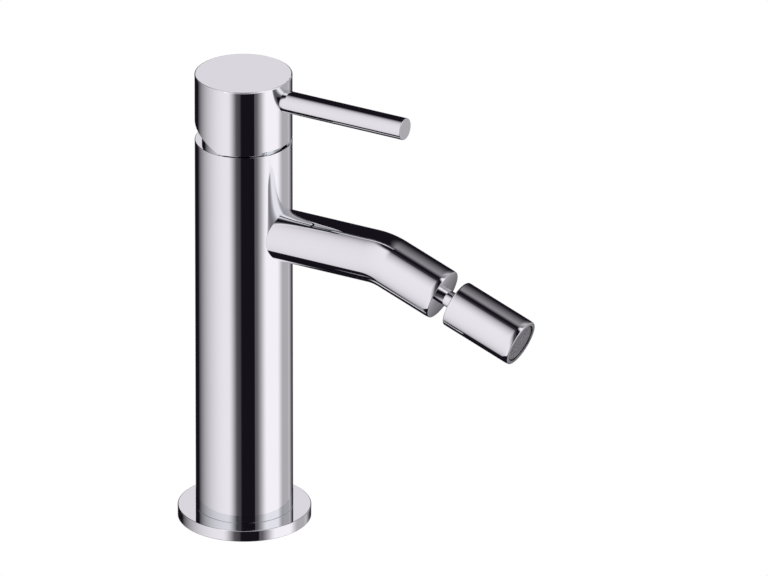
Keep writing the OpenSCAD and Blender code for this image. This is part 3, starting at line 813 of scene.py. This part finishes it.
def hang_card(name, nodes, beam, centre, width, height):
    """A white card that faces back along its beam and lights these CAD nodes alone."""
    across = Vector((0, 0, 1)).cross(beam).normalized()
    turn = Matrix((across, beam.cross(across), beam)).transposed()
    data = bpy.data.lights.new("Card, " + name, "AREA")
    data.shape = "RECTANGLE"
    data.color = TINT
    data.size = width
    data.size_y = height
    data.energy = CARD_BRIGHT * math.pi * width * height
    card = bpy.data.objects.new("Card, " + name, data)
    card.matrix_world = Matrix.Translation(centre) @ turn.to_4x4()
    card.visible_camera = False
    lit = bpy.data.collections.new("Lit by card, " + name)
    for node in nodes:
        lit.objects.link(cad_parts[node])
    card.light_linking.receiver_collection = lit
    bpy.context.collection.objects.link(card)
    return data


def add_cards(stand):
    """White cards behind the mixer for its flat, upward faces, and round it for other views."""
    right, _, back = picture_axes(stand)
    beam = Vector((-back.x, -back.y, back.z))
    upward = right.cross(beam)
    for name, node, side in CARDS:
        low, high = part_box(node)
        radius = (high[1] - low[1]) / 2
        centre = Vector((0, 0, high[2])) + CARD_AWAY * beam + CARD_RISE / 2 * upward
        hang_card(name, [node], beam, centre, 2 * (radius + side),
                  2 * (radius * math.sin(stand.elevation) + CARD_MARGIN) + CARD_RISE)
    ahead = Vector((back.x, back.y, 0)).normalized()
    for name, nodes, side, rise, width, height in SIDE_CARDS:
        level = Matrix.Rotation(math.radians(side), 3, "Z") @ ahead
        beam = math.cos(math.radians(rise)) * level + Vector((0, 0, math.sin(math.radians(rise))))
        _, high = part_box(nodes[0])
        centre = Vector((0, 0, high[2])) + SIDE_AWAY * beam
        data = hang_card(name, nodes, beam, centre, width, height)
        data.use_nodes = True
        rays = put(data.node_tree, "ShaderNodeLightPath")
        own = math_node(data.node_tree, "LESS_THAN", rays.outputs["Ray Depth"], SIDE_DEPTH)
        data.node_tree.links.new(own, data.node_tree.nodes["Emission"].inputs["Strength"])


# The floor lies this far below the plate, so that their faces stay apart
FLOOR_DROP = 0.1 * MM


def add_floor(stand):
    """A plain white floor that chrome doesn't mirror and that is clear from below."""
    mesh = bpy.data.meshes.new("Floor")
    shape = bmesh.new()
    bmesh.ops.create_grid(shape, x_segments=1, y_segments=1, size=stand.floor_size / 2,
                          matrix=Matrix.Translation((0, 0, -FLOOR_DROP)))
    shape.to_mesh(mesh)
    shape.free()
    floor = bpy.data.objects.new("Floor", mesh)
    material = bpy.data.materials.new("Floor white")
    material.use_nodes = True
    tree = material.node_tree
    tree.nodes.clear()
    glow = put(tree, "ShaderNodeEmission", [("Color", WHITE), ("Strength", stand.floor_white)])
    clear = put(tree, "ShaderNodeBsdfTransparent")
    below = put(tree, "ShaderNodeNewGeometry")
    mixed = put(tree, "ShaderNodeMixShader", [("Fac", below.outputs["Backfacing"])])
    tree.links.new(glow.outputs["Emission"], mixed.inputs[1])
    tree.links.new(clear.outputs["BSDF"], mixed.inputs[2])
    output = put(tree, "ShaderNodeOutputMaterial")
    tree.links.new(mixed.outputs["Shader"], output.inputs["Surface"])
    mesh.materials.append(material)
    floor.visible_glossy = False
    bpy.context.collection.objects.link(floor)


class MIXER_OT_studio(bpy.types.Operator):
    """Floor, light and camera of the studio"""

    bl_idname = "mixer.studio"
    bl_label = "Studio"

    def execute(self, context):
        scene = context.scene
        stand = scene.mixer_studio
        add_camera(stand)
        add_world(stand)
        add_cards(stand)
        add_floor(stand)
        scene.view_settings.view_transform = "Standard"
        scene.view_settings.look = "None"
        return {"FINISHED"}


OPERATORS = (
    MIXER_OT_body, MIXER_OT_handle, MIXER_OT_nozzle, MIXER_OT_cartridge, MIXER_OT_seals,
    MIXER_OT_studio,
)


class MIXER_PT_looks(bpy.types.Panel):
    """Lists the steps that dress the mixer"""

    bl_idname = "MIXER_PT_looks"
    bl_label = "Bidet mixer"
    bl_space_type = "VIEW_3D"
    bl_region_type = "UI"
    bl_category = "Mixer"

    def draw(self, context):
        for operator in OPERATORS:
            self.layout.operator(operator.bl_idname)
        scene = context.scene
        for settings in (scene.mixer_shape, scene.mixer_finish, scene.mixer_studio):
            box = self.layout.box()
            for key in settings.__annotations__:
                box.prop(settings, key)


CLASSES = (MixerShape, MixerFinish, MixerStudio) + OPERATORS + (MIXER_PT_looks,)


def register():
    for cls in CLASSES:
        bpy.utils.register_class(cls)
    bpy.types.Scene.mixer_shape = bpy.props.PointerProperty(type=MixerShape)
    bpy.types.Scene.mixer_finish = bpy.props.PointerProperty(type=MixerFinish)
    bpy.types.Scene.mixer_studio = bpy.props.PointerProperty(type=MixerStudio)


def unregister():
    del bpy.types.Scene.mixer_studio
    del bpy.types.Scene.mixer_finish
    del bpy.types.Scene.mixer_shape
    for cls in reversed(CLASSES):
        bpy.utils.unregister_class(cls)


def main():
    register()
    bpy.ops.mixer.studio()
    bpy.ops.mixer.body()
    bpy.ops.mixer.handle()
    bpy.ops.mixer.nozzle()
    bpy.ops.mixer.cartridge()
    bpy.ops.mixer.seals()


if __name__ == "__main__":
    main()
